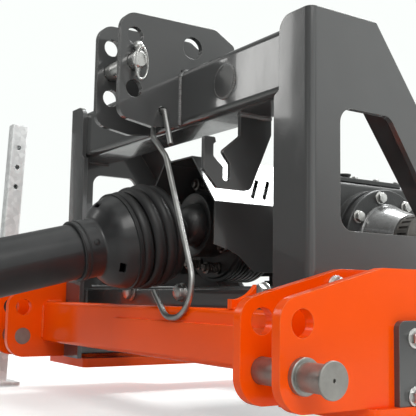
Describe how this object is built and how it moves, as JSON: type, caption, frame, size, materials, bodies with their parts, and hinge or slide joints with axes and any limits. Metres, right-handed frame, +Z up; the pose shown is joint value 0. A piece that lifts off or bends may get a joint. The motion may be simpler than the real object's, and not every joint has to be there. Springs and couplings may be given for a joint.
{
  "type": "rotavator headstock with gearbox and drive shaft",
  "caption": "Front headstock of a tractor rotavator: hitch frame, gearbox, clutch shield, guarded drive shaft, hanging hook and parking leg.",
  "frame": {"origin": "centre of the bolt pattern under the two feet, on their underside, where the rotor hood bolts on", "axes": "+X to the machine's left, +Y to the rear, +Z up; the drive shaft points to -Y"},
  "size_m": [1.2515, 1.482, 0.7441],
  "materials": {
    "anthracite_paint": "gloss",
    "orange_paint": "gloss",
    "dark_casting": "satin paint over casting",
    "bare_casting": "machined and cast, bare",
    "zinc_steel": "zinc plated",
    "oiled_steel": "oiled",
    "turned_steel": "turned, bare",
    "galvanised": "galvanised",
    "guard_plastic": "matte",
    "guard_rubber": "matte",
    "bearing_plastic": "matte"
  },
  "bodies": {
    "headstock": {"side_frame_left": "anthracite_paint", "top_link_plate_left": "anthracite_paint", "hitch_plate_inner_left": "orange_paint", "hitch_plate_outer_left": "orange_paint", "lower_pin_left": "turned_steel", "clamp_plate_left": "anthracite_paint", "foot_left": "orange_paint", "gearbox_rail_left": "anthracite_paint", "side_frame_right": "anthracite_paint", "top_link_plate_right": "anthracite_paint", "hitch_plate_inner_right": "orange_paint", "hitch_plate_outer_right": "orange_paint", "lower_pin_right": "turned_steel", "clamp_plate_right": "anthracite_paint", "foot_right": "orange_paint", "gearbox_rail_right": "anthracite_paint", "saddle_gusset_left": "orange_paint", "cross_beam": "anthracite_paint", "top_link_pin": "zinc_steel", "linch_pin": "zinc_steel", "notched_plate": "anthracite_paint", "front_bar": "orange_paint", "main_bar": "anthracite_paint", "rear_bar": "anthracite_paint", "gearbox_housing": "dark_casting", "gearbox_lid": "dark_casting", "breather": "dark_casting", "side_flange": "dark_casting", "side_hub": "bare_casting", "blind_cover": "dark_casting", "drive_shield": "anthracite_paint", "leg_sleeve": "anthracite_paint", "lock_plunger": "zinc_steel"},
    "input": {"clutch_pack": "dark_casting", "input_shaft": "oiled_steel", "joint_bell": "dark_casting"},
    "output": {"side_coupling": "oiled_steel", "side_output_shaft": "oiled_steel"},
    "rear_guard": {"bellows": "guard_rubber", "guard_cone": "guard_plastic", "guard_tube": "guard_plastic", "guard_bearing_rear": "bearing_plastic"},
    "rear_drive": {"drive_ball": "dark_casting", "drive_bar": "oiled_steel"},
    "front_guard": {"inner_guard_tube": "guard_plastic", "front_guard_cone": "guard_plastic", "guard_bearing_front": "bearing_plastic"},
    "front_drive": {"drive_sleeve": "oiled_steel"},
    "cross": {"joint_cross": "oiled_steel"},
    "tractor_end": {"tractor_yoke": "oiled_steel"},
    "hook": {"wire_hook": "zinc_steel"},
    "leg": {"parking_leg": "galvanised"}
  },
  "joints": [
    {"name": "input_spin", "type": "hinge", "parent": "headstock", "child": "input", "pos_m": [0, -0.2, 0.302], "axis": [0, 1, 0], "continuous": true},
    {"name": "output_spin", "type": "hinge", "parent": "headstock", "child": "output", "pos_m": [0.2, 0.183, 0.274], "axis": [1, 0, 0], "continuous": true},
    {"name": "shaft_pitch", "type": "hinge", "parent": "headstock", "child": "rear_guard", "pos_m": [0, -0.2, 0.302], "axis": [1, 0, 0], "range_deg": [-22, 3]},
    {"name": "rear_drive_spin", "type": "hinge", "parent": "rear_guard", "child": "rear_drive", "pos_m": [0, -0.2, 0.302], "axis": [0, 0.9703, 0.2419], "continuous": true},
    {"name": "shaft_slide", "type": "slide", "parent": "rear_guard", "child": "front_guard", "axis": [0, -0.9703, -0.2419], "range_m": [-0.08, 0.12]},
    {"name": "front_drive_spin", "type": "hinge", "parent": "front_guard", "child": "front_drive", "pos_m": [0, -1.04416, 0.09153], "axis": [0, 0.9703, 0.2419], "continuous": true},
    {"name": "cross_swing", "type": "hinge", "parent": "front_drive", "child": "cross", "pos_m": [0, -1.04416, 0.09153], "axis": [1, 0, 0], "range_deg": [-25, 25]},
    {"name": "yoke_swing", "type": "hinge", "parent": "cross", "child": "tractor_end", "pos_m": [0, -1.04416, 0.09153], "axis": [0, -0.2419, 0.9703], "range_deg": [-25, 25]},
    {"name": "hook_swing", "type": "hinge", "parent": "headstock", "child": "hook", "pos_m": [0.045, -0.313, 0.50408], "axis": [1, 0, 0], "range_deg": [-25, 0]},
    {"name": "leg_slide", "type": "slide", "parent": "headstock", "child": "leg", "axis": [0, -0.0419, -0.9991], "range_m": [0, 0.35]}
  ],
  "couplings": [
    {"joint": "output_spin", "follows": "input_spin", "ratio": 0.5},
    {"joint": "rear_drive_spin", "follows": "input_spin", "ratio": 1},
    {"joint": "front_drive_spin", "follows": "input_spin", "ratio": 1}
  ]
}
